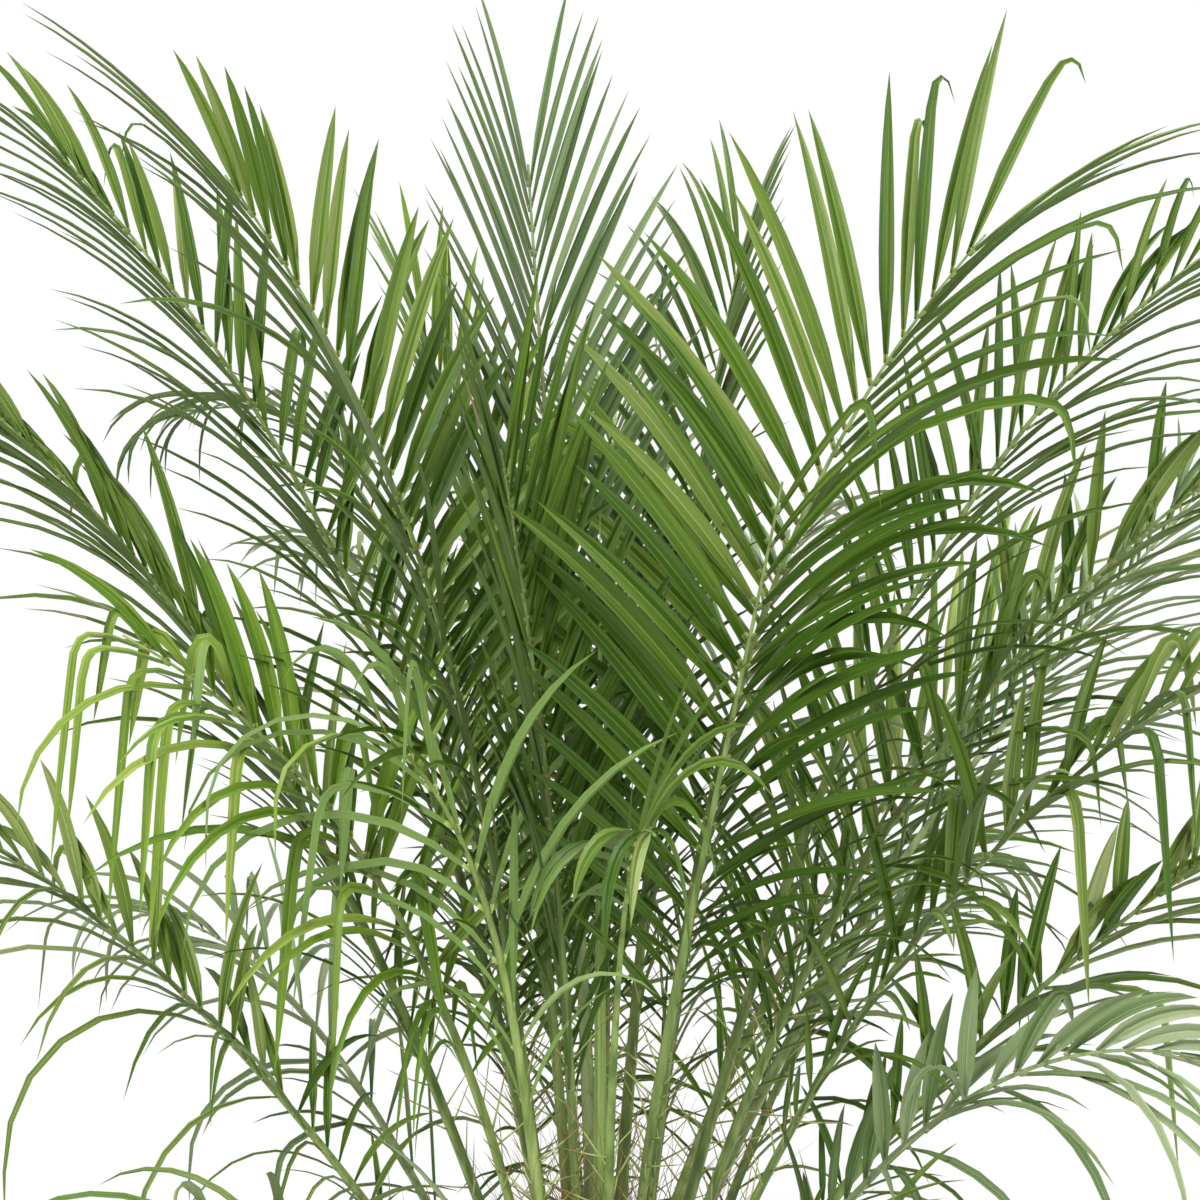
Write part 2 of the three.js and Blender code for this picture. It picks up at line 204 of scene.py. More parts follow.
# The stem's radius at a height: a flare that dies away, a bare neck that swells, and a cone.
def stemRadius(height):
    flare = (stem["groundRadius"] - stem["neckRadius"]) * np.exp(-height / stem["flareHeight"])
    swell = smoothstep(height, stem["crownFoot"] / 2, stem["crownFoot"])
    bare = stem["neckRadius"] + flare + (stem["crownRadius"] - stem["neckRadius"]) * swell
    climb = (height - stem["crownFoot"]) / (stem["crownTop"] - stem["crownFoot"])
    cone = mix(stem["crownRadius"], stem["tipRadius"], climb)
    return np.where(height >= stem["crownFoot"], cone, bare)


# From the top of the cone down to its lower edge by the frond's rank.
def footHeightOf(frond):
    highest = stem["crownTop"] - stem["firstFoot"]
    return mix(highest, stem["crownFoot"] + stem["lastFoot"], frond["rank"])


# Points and axes of a frond's rib at shares of its length: a cubic curve from foot to tip in its
# own plane, walked by equal lengths, its face turned by the twist, and the whole set to its
# azimuth. Gives the point, along, up from the face, to the right, and last the rib's length.
def ribFrames(frond, shares):
    footHeight = footHeightOf(frond)
    foot = np.array([float(stemRadius(footHeight)), 0, footHeight])
    tip = np.array([frond["reach"], 0, frond["top"]])
    pull = rib["bend"] * np.linalg.norm(tip - foot)
    rise, bow = np.radians([frond["rise"], frond["bow"]])
    first = foot + pull * np.array([np.sin(rise), 0, np.cos(rise)])
    last = tip - pull * np.array([np.sin(bow), 0, np.cos(bow)])

    def curveAt(t):
        early = foot * (1 - t) ** 3 + 3 * first * t * (1 - t) ** 2
        return early + 3 * last * t ** 2 * (1 - t) + tip * t ** 3

    steps = np.linspace(0, 1, rib["steps"])
    hops = np.linalg.norm(np.diff(curveAt(steps[:, None]), axis=0), axis=1)
    walked = np.concatenate([[0], np.cumsum(hops)])
    t = np.interp(shares * walked[-1], walked, steps)[:, None]
    point = curveAt(t)
    pace = (first - foot) * (1 - t) ** 2 + 2 * (last - first) * t * (1 - t) + (tip - last) * t ** 2
    along = unit(pace)
    flatUp = np.stack([-along[:, 2], np.zeros(len(t)), along[:, 0]], 1)
    flatRight = np.array([0.0, -1.0, 0.0])
    turn = (np.radians(frond["twist"]) * smoothstep(shares, 0, rib["twistedBy"]))[:, None]
    up = flatUp * np.cos(turn) + flatRight * np.sin(turn)
    right = flatRight * np.cos(turn) - flatUp * np.sin(turn)
    axes = [turnedAboutZ(axis, frond["azimuth"]) for axis in (point, along, up, right)]
    return axes + [walked[-1]]


# tipWidth + (footWidth - tipWidth) * (1 - share)^taper
def ribWidth(shares):
    return mix(rib["tipWidth"], rib["footWidth"], (1 - shares) ** rib["taper"])


# A mesh object from points in millimetres and groups of polygons, each group an array with one
# row for a polygon. Shades holds a material's place for each polygon, maps one UV for each point,
# and crisp is told each edge's two points and says which edges stay sharp.
def makePiece(name, points, groups, materials, shades=None, maps=None, crisp=None):
    corners = np.concatenate([group.ravel() for group in groups]).astype(np.int32)
    sizes = np.concatenate([np.full(len(group), group.shape[1]) for group in groups])
    starts = np.concatenate([[0], np.cumsum(sizes)[:-1]])
    mesh = bpy.data.meshes.new(name)
    mesh.vertices.add(len(points))
    mesh.vertices.foreach_set("co", (points * millimetre).astype(np.float32).ravel())
    mesh.loops.add(len(corners))
    mesh.loops.foreach_set("vertex_index", corners)
    mesh.polygons.add(len(sizes))
    mesh.polygons.foreach_set("loop_start", starts.astype(np.int32))
    mesh.polygons.foreach_set("loop_total", sizes.astype(np.int32))
    mesh.polygons.foreach_set("use_smooth", np.ones(len(sizes), bool))
    if shades is not None:
        mesh.polygons.foreach_set("material_index", shades.astype(np.int32))
    for material in materials:
        mesh.materials.append(material)
    mesh.update(calc_edges=True)
    if maps is not None:
        layer = mesh.uv_layers.new(name="grain")
        layer.data.foreach_set("uv", maps[corners].astype(np.float32).ravel())
    if crisp is not None:
        ends = np.zeros(len(mesh.edges) * 2, np.int32)
        mesh.edges.foreach_get("vertices", ends)
        marks = mesh.attributes.new("sharp_edge", "BOOLEAN", "EDGE")
        marks.data.foreach_set("value", crisp(ends.reshape(-1, 2)))
    mesh.validate()
    piece = bpy.data.objects.new(name, mesh)
    bpy.context.scene.collection.objects.link(piece)
    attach(piece, "root")
    triangles = int(np.sum(sizes - 2))
    print(f"{name}: {len(points)} points, {triangles} triangles")
    return piece


# Quads between neighbouring rings of a tube, closed round, for many tubes laid out alike.
def tubeQuads(tubes, rings, around):
    tube = np.arange(tubes)[:, None, None] * rings * around
    ring = np.arange(rings - 1)[None, :, None] * around
    spot = np.arange(around)[None, None, :]
    after = (spot + 1) % around
    base = tube + ring
    quads = np.stack([base + spot, base + after, base + after + around, base + spot + around], -1)
    return quads.reshape(-1, 4)


# One flat cap for each tube's first or last ring, turned to face outwards.
def tubeCaps(tubes, rings, around, atEnd):
    tube = np.arange(tubes)[:, None] * rings * around
    spot = np.arange(around)[None, :]
    return tube + (rings - 1) * around + spot if atEnd else tube + spot[:, ::-1]


# Triangles from each tube's last ring to its own tip, where the tips follow all of the rings.
def tubeTips(tubes, rings, around):
    ends = np.arange(tubes)[:, None] * rings * around + (rings - 1) * around + np.arange(around)
    apex = np.repeat(tubes * rings * around + np.arange(tubes), around)
    return np.stack([ends.ravel(), np.roll(ends, -1, axis=1).ravel(), apex], 1)


# A colour as six hexadecimal digits, made linear by the sRGB curve.
def linearColour(text):
    value = np.array([int(text[i:i + 2], 16) for i in (0, 2, 4)]) / 255
    value = np.where(value <= 0.04045, value / 12.92, ((value + 0.055) / 1.055) ** 2.4)
    return (*value.tolist(), 1.0)


# A node with its settings, and links into its sockets from (node, socket) pairs.
def addNode(tree, kind, inputs=(), **settings):
    node = tree.nodes.new(kind)
    for word, value in settings.items():
        setattr(node, word, value)
    for socket, value in dict(inputs).items():
        if isinstance(value, tuple) and hasattr(value[0], "outputs"):
            tree.links.new(value[0].outputs[value[1]], node.inputs[socket])
        else:
            node.inputs[socket].default_value = value
    return node


# An empty material and its tree.
def startMaterial(name):
    material = bpy.data.materials.new(name)
    material.use_nodes = True
    material.node_tree.nodes.clear()
    return material, material.node_tree


# A leaf finish: one plain colour, fine veins along the blade, and wax that varies the gloss.
def leafMaterial(name, colour, roughness):
    material, tree = startMaterial(name)
    grain = addNode(tree, "ShaderNodeUVMap", uv_map="grain")
    drawn = addNode(tree, "ShaderNodeMapping", {"Vector": (grain, "UV"), "Scale": (6.0, 0.4, 1.0)})
    veins = addNode(tree, "ShaderNodeTexNoise", {
        "Vector": (drawn, "Vector"), "Scale": 1.0, "Detail": 3.0})
    place = addNode(tree, "ShaderNodeTexCoord")
    wax = addNode(tree, "ShaderNodeTexNoise", {
        "Vector": (place, "Object"), "Scale": 90.0, "Detail": 3.0})
    gloss = addNode(tree, "ShaderNodeMapRange", {
        "Value": (wax, "Fac"), "From Min": 0.3, "From Max": 0.7,
        "To Min": roughness - 0.07, "To Max": roughness + 0.09})
    bump = addNode(tree, "ShaderNodeBump", {
        "Height": (veins, "Fac"), "Strength": 0.8, "Distance": 0.0022})
    blade = addNode(tree, "ShaderNodeBsdfPrincipled", {
        "Base Color": linearColour(colour), "Roughness": (gloss, "Result"),
        "Specular IOR Level": 0.3, "Normal": (bump, "Normal")})
    addNode(tree, "ShaderNodeOutputMaterial", {"Surface": (blade, "BSDF")})
    return material


# A woody or fibrous finish: a darker and a paler colour mixed by drawn-out noise, with bump.
def fibreMaterial(name, dark, pale, scale, stretch, roughness, depth):
    material, tree = startMaterial(name)
    place = addNode(tree, "ShaderNodeTexCoord")
    drawn = addNode(tree, "ShaderNodeMapping", {"Vector": (place, "Object"), "Scale": stretch})
    coarse = addNode(tree, "ShaderNodeTexNoise", {
        "Vector": (drawn, "Vector"), "Scale": scale, "Detail": 6.0})
    fine = addNode(tree, "ShaderNodeTexNoise", {
        "Vector": (drawn, "Vector"), "Scale": scale * 5, "Detail": 4.0})
    blend = addNode(tree, "ShaderNodeMapRange", {
        "Value": (coarse, "Fac"), "From Min": 0.35, "From Max": 0.65})
    colour = addNode(tree, "ShaderNodeMix", {
        0: (blend, "Result"), 6: linearColour(dark), 7: linearColour(pale)}, data_type="RGBA")
    gloss = addNode(tree, "ShaderNodeMapRange", {
        "Value": (fine, "Fac"), "To Min": roughness - 0.1, "To Max": roughness + 0.1})
    bump = addNode(tree, "ShaderNodeBump", {
        "Height": (fine, "Fac"), "Strength": 0.6, "Distance": depth})
    skin = addNode(tree, "ShaderNodeBsdfPrincipled", {
        "Base Color": (colour, 2), "Roughness": (gloss, "Result"),
        "Normal": (bump, "Normal"), "Specular IOR Level": 0.25})
    addNode(tree, "ShaderNodeOutputMaterial", {"Surface": (skin, "BSDF")})
    return material


# The colours of leaves by the frond's age: upper faces from dark to light, undersides from
# dark to light, and the pale joint at a leaflet's foot. A frond's materials keep this order,
# and the dry tip's comes last. The dark and pale ends of the upper row serve both as chance tone
# and as painted shade inside the crown and painted light on the outer fronds.
leafShades = {
    "young": {
        "upper": ("4c6e14", "58771c", "637f24", "728930", "80933c", "8d9c4f", "9aa662"),
        "under": ("688240", "80965a"),
        "joint": "a2b464"},
    "full": {
        "upper": ("335009", "3f5b10", "4a6617", "5a7026", "697a36", "7a884c", "8c9564"),
        "under": ("50642e", "707f54"),
        "joint": "93a05c"},
    "old": {
        "upper": ("465e2a", "506735", "597040", "667a4c", "728358", "7f8e65", "8c9872"),
        "under": ("6a7850", "82906c"),
        "joint": "96a072"},
}
dryTip = "7c744a"
upperCount = len(leafShades["full"]["upper"])
underCount = len(leafShades["full"]["under"])
leafMaterials = {}
for tone, shade in leafShades.items():
    uppers = [leafMaterial(f"leaf_{tone}_upper_{i}", colour, 0.42)
              for i, colour in enumerate(shade["upper"])]
    unders = [leafMaterial(f"leaf_{tone}_under_{i}", colour, 0.6)
              for i, colour in enumerate(shade["under"])]
    joint = leafMaterial(f"leaf_{tone}_joint", shade["joint"], 0.5)
    leafMaterials[tone] = uppers + unders + [joint, leafMaterial(f"leaf_{tone}_dry", dryTip, 0.75)]
print("leaf finishes ready")

# Fold is how deep the V is, lineShare how wide its pale line is, both as shares of half the
# blade, and crease how far the middle of each half is raised, as a share of the fold. Joint is
# the share of the blade that its pale foot takes, and thickness how far its ridge stands down
# in millimetres. Lift raises a leaflet from the rib and tilt turns it about itself, in degrees.
# It hangs down by sag degrees at least, and by sagMore besides when it starts out level. A bent
# one turns over bendSpan on both sides of its bend, for the share hang of the way down, and
# gather draws its rings to that place. The inner and outer lights and the lower shade are places
# in the row of shades, and they are painted shade and light: inner fronds and the lowest leaflets
# on a rib get darker shades for the shade inside the crown, and outer fronds paler ones for the
# light falling on them. The plays are spreads.
leaflet = {
    "joint": 0.03,
    "gather": 0.75,
    "fold": 0.34,
    "lineShare": 0.06,
    "crease": 0.22,
    "thickness": 0.8,
    "rings": 9,
    "lift": 32,
    "tilt": 13,
    "sag": 18,
    "sagMore": 105,
    "bendSpan": 0.07,
    "hang": 0.94,
    "bendRange": (0.2, 0.88),
    "droopRange": (0.7, 1.35),
    "spacingPlay": 0.14,
    "turnPlay": 4,
    "liftPlay": 6,
    "curlPlay": 16,
    "lengthPlay": 0.03,
    "widthPlay": 0.06,
    "bendPlay": 0.08,
    "lightPlay": 1.0,
    "frondLightPlay": 0.15,
    "innerFrondPaintedShade": 1.5,
    "outerFrondPaintedLight": 4.4,
    "lowLeafletPaintedShade": 2.2,
    "dryShare": 0.003,
}


# A leaflet's length as a share of the longest: 0.5 + 0.5 sin(0.82 pi share^0.8).
def bladeLength(share):
    return 0.5 + 0.5 * np.sin(0.82 * np.pi * share ** 0.8)


# The blade's width along it as a share of the widest: a narrow foot, an even middle and a
# point, (0.3 + 0.7 smoothstep(u, 0, 0.32)) (1 - u^3.6)^0.9.
def bladeOutline(u):
    return (0.3 + 0.7 * smoothstep(u, 0, 0.32)) * (1 - u ** 3.6) ** 0.9


# Where each leaflet of a frond springs from its rib, with everything that shapes it. The lower
# a leaflet sits on its rib, and the lower the frond on the stem, the looser its direction:
# (0.4 + 2.4 rank) (1 + (1 - share)^2). Leaflets are slimmer at both ends of the rib. Their shade
# is painted shade and light with chance tone on top: darker the lower they sit and the further
# in their frond is, for the shade inside the crown, and paler on outer fronds, for the light
# falling on them. A bend's chance is 2 folded share^1.8.
def frondLeaflets(frond):
    ribLength = ribFrames(frond, np.array([0.0, 1.0]))[-1]
    count = int(round(ribLength * (1 - frond["bare"]) / frond["gap"]))
    total = 2 * count
    side = np.repeat([-1.0, 1.0], count)
    share = np.tile(np.arange(count) / (count - 1), 2)
    loose = (0.4 + 2.4 * frond["rank"]) * (1 + (1 - share) ** 2)
    play = rng.uniform(-1, 1, total) * leaflet["spacingPlay"]
    play[count - 1::count] = 0
    spot = mix(frond["bare"], 1, (share * (count - 1) + play) / count)
    point, along, up, right, _ = ribFrames(frond, spot)
    edge = (side * rib["edge"] * ribWidth(spot))[:, None]
    spread = mix(frond["spread"], frond["close"], share ** 3)
    slim = mix(0.45, 1, smoothstep(share, 0, 0.5)) * mix(1, 0.7, smoothstep(share, 0.6, 1))
    uneven = 1 + frond["lean"] * side
    longest = frond["blade"] * uneven
    # Painted shade and light: darker shades for inner fronds and for leaflets low on a rib, paler
    # ones for outer fronds. The normal draws add chance tone.
    light = mix(leaflet["innerFrondPaintedShade"], leaflet["outerFrondPaintedLight"], frond["rank"])
    light = light + rng.normal(0, leaflet["frondLightPlay"]) - leaflet["lowLeafletPaintedShade"] * (1 - share)
    lengthPlay = leaflet["lengthPlay"] * (1 + loose)
    return {
        "point": point + right * edge, "along": along, "up": up, "right": right, "side": side,
        "forward": np.radians(spread + rng.normal(0, leaflet["turnPlay"], total) * loose),
        "lift": np.radians(leaflet["lift"] + rng.normal(0, leaflet["liftPlay"], total) * loose),
        "length": longest * bladeLength(share) * rng.normal(1, lengthPlay, total),
        "half": frond["width"] / 2 / uneven * slim * rng.normal(1, leaflet["widthPlay"], total),
        "droop": frond["droop"] * rng.uniform(*leaflet["droopRange"], total),
        "curl": np.radians(rng.normal(0, leaflet["curlPlay"], total)),
        "tilt": np.radians(leaflet["tilt"] * side),
        "bent": rng.random(total) < 2 * frond["folded"] * share ** 1.8,
        "bentAt": np.clip(
            rng.normal(frond["foldAt"], leaflet["bendPlay"], total), *leaflet["bendRange"]),
        "shade": np.clip(
            np.round(light + rng.normal(0, leaflet["lightPlay"], total)), 0, upperCount - 1),
        "dry": rng.random(total) < leaflet["dryShare"],
    }


# Places along a bent blade, closer together round its bend:
# t - k (sin(2 pi t - c) + sin c), where k is gather / (2 pi) and c puts the closest at the bend.
def gathered(places, bend):
    pull = leaflet["gather"] / (2 * np.pi)
    grid = np.linspace(0, 1, 101)
    centre = 2 * np.pi * np.interp(bend, grid - pull * np.sin(2 * np.pi * grid), grid)
    return places - pull * (np.sin(2 * np.pi * places - centre) + np.sin(centre))


# Blades as closed solids. A blade leaves the rib forward and outward and lifts towards the
# face. Its heading then turns about a level hinge towards straight down, by
# droop (sag + sagMore sin(fall)^1.5) degrees u^1.4, where fall is its first angle from straight
# down. A bent one turns the rest of the way at one place. Its section is a V, deeper near the
# foot: two creased halves, the line between them, and a ridge below. Each upper strip is of the
# leaf's own shade or of the next to it, and the line is two shades paler.
def makeLeaflets(name, groups, tone):
    leaf = {word: np.concatenate([group[word] for group in groups]) for word in groups[0]}
    count, rings = len(leaf["side"]), leaflet["rings"]
    strips, around = 5, 7  # the upper ones, and with the two below
    words = "forward lift side length half curl tilt droop bent bentAt".split()
    column = {word: leaf[word][:, None] for word in words}
    even = np.linspace(1 / (rings - 1), 1, rings - 1)
    beyond = np.where(column["bent"], gathered(even, column["bentAt"]), even)
    u = np.concatenate([0 * beyond[:, :1], 0 * beyond[:, :1] + leaflet["joint"], beyond], axis=1)
    outward = leaf["right"] * column["side"] * np.cos(column["lift"])
    outward = outward + leaf["up"] * np.sin(column["lift"])
    start = leaf["along"] * np.cos(column["forward"]) + outward * np.sin(column["forward"])
    start = unit(start)
    down = np.array([0.0, 0.0, -1.0])
    fall = np.arccos(np.clip(dot(start, down), -1, 1))
    hinge = unit(np.cross(start, down))[:, None]
    face = unit(np.cross(start, leaf["along"]))
    face = face * np.sign(dot(face, leaf["up"]))

    sag = leaflet["sag"] + leaflet["sagMore"] * np.sin(fall) ** 1.5
    turn = np.minimum(column["droop"] * np.radians(sag) * u ** 1.4, fall)
    span = leaflet["bendSpan"]
    snap = smoothstep(u, column["bentAt"] - span, column["bentAt"] + span)
    turn = np.where(column["bent"], mix(turn, leaflet["hang"] * fall, snap), turn)[..., None]
    heading = turnedAbout(hinge, start[:, None], turn)
    longer = mix(1.15, 0.98, smoothstep(start[:, 2:], 0.2, 0.9))
    step = (column["length"] * longer * np.diff(u))[..., None]
    middle = (heading[:, 1:] + heading[:, :-1]) / 2
    walked = np.cumsum(middle * step, axis=1)
    spots = leaf["point"][:, None] + np.concatenate([np.zeros((count, 1, 3)), walked], axis=1)
    curl = (column["tilt"] + column["curl"] * u ** 1.5)[..., None]
    upward = turnedAbout(heading, turnedAbout(hinge, face[:, None], turn), -curl)
    across = np.cross(upward, heading)

    half = column["half"] * bladeOutline(u)
    fold = half * leaflet["fold"] * mix(2.4, 1, smoothstep(u, 0, 0.3))
    line = half * leaflet["lineShare"]
    rise = 2 * fold * leaflet["lineShare"] - fold
    crease = fold * leaflet["crease"]
    ridge = -fold - leaflet["thickness"] * mix(1, 0.25, u)
    sideways = np.stack([-half, -half / 2, -line, line, half / 2, half, 0 * half], -1)[..., None]
    lifted = np.stack([fold, crease, rise, rise, crease, fold, ridge], -1)[..., None]
    blades = spots[:, :, None] + across[:, :, None] * sideways + upward[:, :, None] * lifted
    points = np.concatenate([blades[:, :rings].reshape(-1, 3), spots[:, rings]])
    ringPoints = count * rings * around
    faces = [
        tubeQuads(count, rings, around)[:, ::-1],
        tubeTips(count, rings, around)[:, ::-1],
        tubeCaps(count, rings, around, False)[:, ::-1]]

    joint, dry = upperCount + underCount, upperCount + underCount + 1
    # The leaflet's shade holds painted shade and light as well as chance tone. It sets the upper
    # strips and picks the darker or paler underside.
    under = upperCount + (leaf["shade"] > upperCount // 2)
    isLine = np.arange(strips) == strips // 2
    step = np.where(isLine, 2, rng.integers(-1, 2, (count, strips)))
    upper = np.clip(leaf["shade"][:, None] + step, 0, upperCount - 1)
    strip = np.concatenate([upper, under[:, None], under[:, None]], axis=1).astype(int)
    sideShades = np.repeat(strip[:, None], rings - 1, axis=1)
    sideShades[:, 0] = joint
    sideShades[leaf["dry"], rings - 2] = dry
    tipShades = np.where(leaf["dry"][:, None], dry, strip)
    shades = np.concatenate([sideShades.ravel(), tipShades.ravel(), under])

    wide = np.broadcast_to([0, 0.25, 0.45, 0.55, 0.75, 1, 0.5], (count, rings, around))
    far = np.broadcast_to((column["length"] * u[:, :rings] / 100)[..., None], wide.shape)
    maps = np.concatenate([
        np.stack([wide, far], -1).reshape(-1, 2),
        np.stack([np.full(count, 0.5), leaf["length"] / 100], -1)])

    # Sharp are the edges that run along the blade, up to its tip.
    def crisp(ends):
        lane = np.where(ends < ringPoints, ends % around, -1)
        return (lane[:, 0] == lane[:, 1]) | (lane.min(1) < 0)

    return makePiece(name, points, faces, leafMaterials[tone], shades, maps, crisp)


for tone in tones:
    groups = [frondLeaflets(frond) for frond in frondSets[tone]]
    piece = makeLeaflets(f"leaflets_{tone}", groups, tone)
    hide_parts(*[f"frond_{frond['name']}" for frond in frondSets[tone]])

# The rib's section as shares of its width: flat and a little hollow above, keeled below.
ribSection = np.array([
    (-0.5, 0.17), (-0.3, 0.21), (0.0, 0.18), (0.3, 0.21), (0.5, 0.17), (0.45, 0.02),
    (0.26, -0.24), (0.0, -0.41), (-0.26, -0.24), (-0.45, 0.02)])
ribShades = {
    "young": ("607436", "869656"),
    "full": ("506430", "7a8c4e"),
    "old": ("627246", "869262"),
}


# Ribs as tubes: the section is scaled by the width and carried along the curve.
def makeRibs(tone):
    shares = np.linspace(0, 1, rib["rings"]) ** 1.1
    width = ribWidth(shares)[:, None, None]
    tubes = []
    for frond in frondSets[tone]:
        point, _, up, right, _ = ribFrames(frond, shares)
        sideways = right[:, None] * ribSection[:, :1] * width
        lifted = up[:, None] * ribSection[:, 1:] * width
        tubes.append(point[:, None] + sideways + lifted)
    points = np.array(tubes)
    layout = points.shape[:3]
    faces = [tubeQuads(*layout), tubeCaps(*layout, False), tubeCaps(*layout, True)]
    skin = fibreMaterial(f"rib_{tone}", *ribShades[tone], 120.0, (1.0, 1.0, 0.12), 0.5, 0.0004)
    return makePiece(f"ribs_{tone}", points.reshape(-1, 3), faces, [skin])


for tone in tones:
    piece = makeRibs(tone)
    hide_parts(*[f"frond_{frond['name']}" for frond in frondSets[tone]])


# Thin tapering hairs or thorns with a pointed tip. Each sets out along its heading and swings
# towards its bend: heading(u) = heading + bend * u^1.5, and radius(u) = radius * (1 - 0.8 u).
# Skew is only a direction to start the round section from.
def hairPoints(start, heading, bend, length, radius, rings, around):
    skew = np.array([0.31, 0.17, 0.93])
    u = np.linspace(0, 1, rings + 1)[None, :, None]
    way = unit(heading[:, None] + bend[:, None] * u ** 1.5)
    walked = np.cumsum((way[:, 1:] + way[:, :-1]) / 2 * (length / rings)[:, None, None], axis=1)
    spots = start[:, None] + np.concatenate([0 * start[:, None], walked], axis=1)
    aside = unit(np.cross(way, skew))
    other = np.cross(way, aside)
    angle = (np.arange(around) * 2 * np.pi / around)[:, None]
    thick = (radius[:, None, None] * (1 - 0.8 * u))[..., None]
    ring = aside[:, :, None] * np.cos(angle) + other[:, :, None] * np.sin(angle)
    tubes = (spots[:, :, None] + ring * thick)[:, :rings]
    return np.concatenate([tubes.reshape(-1, 3), spots[:, rings]])


# The hairs' sides, their tips, and the caps at their feet.
def hairFaces(count, rings, around):
    return [
        tubeQuads(count, rings, around),
        tubeTips(count, rings, around),
        tubeCaps(count, rings, around, False)]


# The lowest leaflets are stiff spines: perSide on both sides of the stalk, short at its foot.
# Pairs are from and to. Edge is how far from the rib's middle they spring, as a share of its
# width.
spine = {
    "perSide": 14,
    "firstShare": 0.07,
    "lastShare": 0.36,
    "pastBare": 0.03,
    "spacingPlay": 0.008,
    "edge": 0.44,
    "forward": (35, 75),
    "lift": 18,
    "liftPlay": 26,
    "bend": (-0.1, 0.4),
    "length": 58,
    "climbing": (0.4, 1.1),
    "lengthPlay": (0.7, 1.3),
    "radius": 1.2,
    "rings": 4,
    "sides": 4,
}


# Spines up both sides of every stalk, green with brown points. The longest are the thickest.
def makeSpines():
    starts, headings, bends, lengths = [], [], [], []
    spacingPlay = spine["spacingPlay"]
    for frond in fronds:
        last = min(frond["bare"] + spine["pastBare"], spine["lastShare"])
        climb = np.tile(np.linspace(0, 1, spine["perSide"]), 2)
        total = len(climb)
        side = np.repeat([-1.0, 1.0], spine["perSide"])[:, None]
        spot = mix(spine["firstShare"], last, climb)
        spot = spot + rng.uniform(-spacingPlay, spacingPlay, total)
        point, along, up, right, _ = ribFrames(frond, spot)
        forward = np.radians(rng.uniform(*spine["forward"], total))[:, None]
        lift = np.radians(rng.normal(spine["lift"], spine["liftPlay"], total))[:, None]
        outward = right * side * np.cos(lift) + up * np.sin(lift)
        starts.append(point + right * side * spine["edge"] * ribWidth(spot)[:, None])
        headings.append(along * np.cos(forward) + outward * np.sin(forward))
        bends.append(along * rng.uniform(*spine["bend"], total)[:, None])
        longest = spine["length"] * mix(*spine["climbing"], climb)
        lengths.append(longest * rng.uniform(*spine["lengthPlay"], total))
    start, heading, bend, length = (np.concatenate(part) for part in (
        starts, headings, bends, lengths))
    count = len(start)
    layout = (spine["rings"], spine["sides"])
    radius = spine["radius"] * (0.6 + 0.4 * length / length.max())
    points = hairPoints(start, heading, bend, length, radius, *layout)
    green = leafMaterial("spine_green", "98a462", 0.5)
    brown = leafMaterial("spine_tip", "8a7046", 0.6)
    sides = np.repeat(np.arange(spine["rings"] - 1) >= spine["rings"] - 2, spine["sides"])
    shades = np.concatenate([
        np.tile(sides, count), np.ones(count * spine["sides"]), np.zeros(count)])
    maps = np.zeros((len(points), 2))
    return makePiece("spines", points, hairFaces(count, *layout), [green, brown], shades, maps)


piece = makeSpines()

# The foot of each frond is a brown sheath that clasps the stem and narrows into the stalk. It
# runs from below the frond's foot to above it. Half its arc is halfArc at the lower end and
# stalkArc at the upper one, where the arc's radius is stalkRadius. Clasp is how far it stands
# out from the stem, outside how far its middle lies behind the rib, and slack how much wider
# than the rib it ends. Bands are the shares of its height where its colour changes.
sheath = {
    "below": 16,
    "above": 74,
    "halfArc": 26,
    "stalkArc": 9,
    "stalkRadius": 60,
    "mostAngle": 1.25,
    "wall": 4.5,
    "slack": 1.06,
    "rings": 14,
    "across": 11,
    "clasp": 6,
    "outside": 8.6,
    "bands": (0.42, 0.6, 0.78),
}


# Sheaths as closed shells. Across each one runs an arc of the stem's own curve,
# (R sin a, R (1 - cos a)), that becomes the lower side of the rib's section with height.
# The wall thins towards both edges and the upper end. Gives the points as
# (frond, ring, around).
def sheathPoints():
    climb = np.linspace(0, 1, sheath["rings"])
    spread = np.linspace(-1, 1, sheath["across"])
    keel = np.array([(-0.5, 0.17), (-0.45, 0.02), (-0.26, -0.24), (0, -0.41)])
    keel = np.concatenate([keel, keel[-2::-1] * [-1, 1]])
    places = np.linspace(-1, 1, len(keel))
    lower = np.stack([np.interp(spread, places, keel[:, i]) for i in (0, 1)], -1)
    shells = []
    for frond in fronds:
        length = ribFrames(frond, np.array([0.0]))[-1]
        distance = mix(-sheath["below"], sheath["above"], climb)
        shares = np.maximum(distance, 0) / length
        point, along, up, right, _ = ribFrames(frond, shares)
        point = point + along * np.minimum(distance, 0)[:, None]
        ragged = 1 + 0.07 * np.sin(9 * climb + rng.uniform(0, 6))
        arc = mix(sheath["halfArc"], sheath["stalkArc"], smoothstep(climb, 0.1, 0.9)) * ragged
        footRadius = float(stemRadius(footHeightOf(frond))) + sheath["clasp"]
        radius = mix(footRadius, sheath["stalkRadius"], climb ** 2)
        angle = np.minimum(arc / radius, sheath["mostAngle"])[:, None] * spread
        sideways = radius[:, None] * np.sin(angle)
        lifted = radius[:, None] * (1 - np.cos(angle)) - sheath["outside"]
        merge = smoothstep(climb, 0.35, 1)[:, None]
        width = sheath["slack"] * ribWidth(shares)[:, None]
        sideways = mix(sideways, lower[:, 0] * width, merge)
        lifted = mix(lifted, lower[:, 1] * width, merge)
        wall = sheath["wall"] * mix(1, 0.15, climb)[:, None] * (1 - 0.75 * spread ** 2)
        ringSide = np.concatenate([sideways, sideways[:, ::-1] * 0.96], axis=1)[..., None]
        ringLift = np.concatenate([lifted, (lifted + wall)[:, ::-1]], axis=1)[..., None]
        shells.append(point[:, None] + right[:, None] * ringSide + up[:, None] * ringLift)
    return np.array(shells)


shells = sheathPoints()


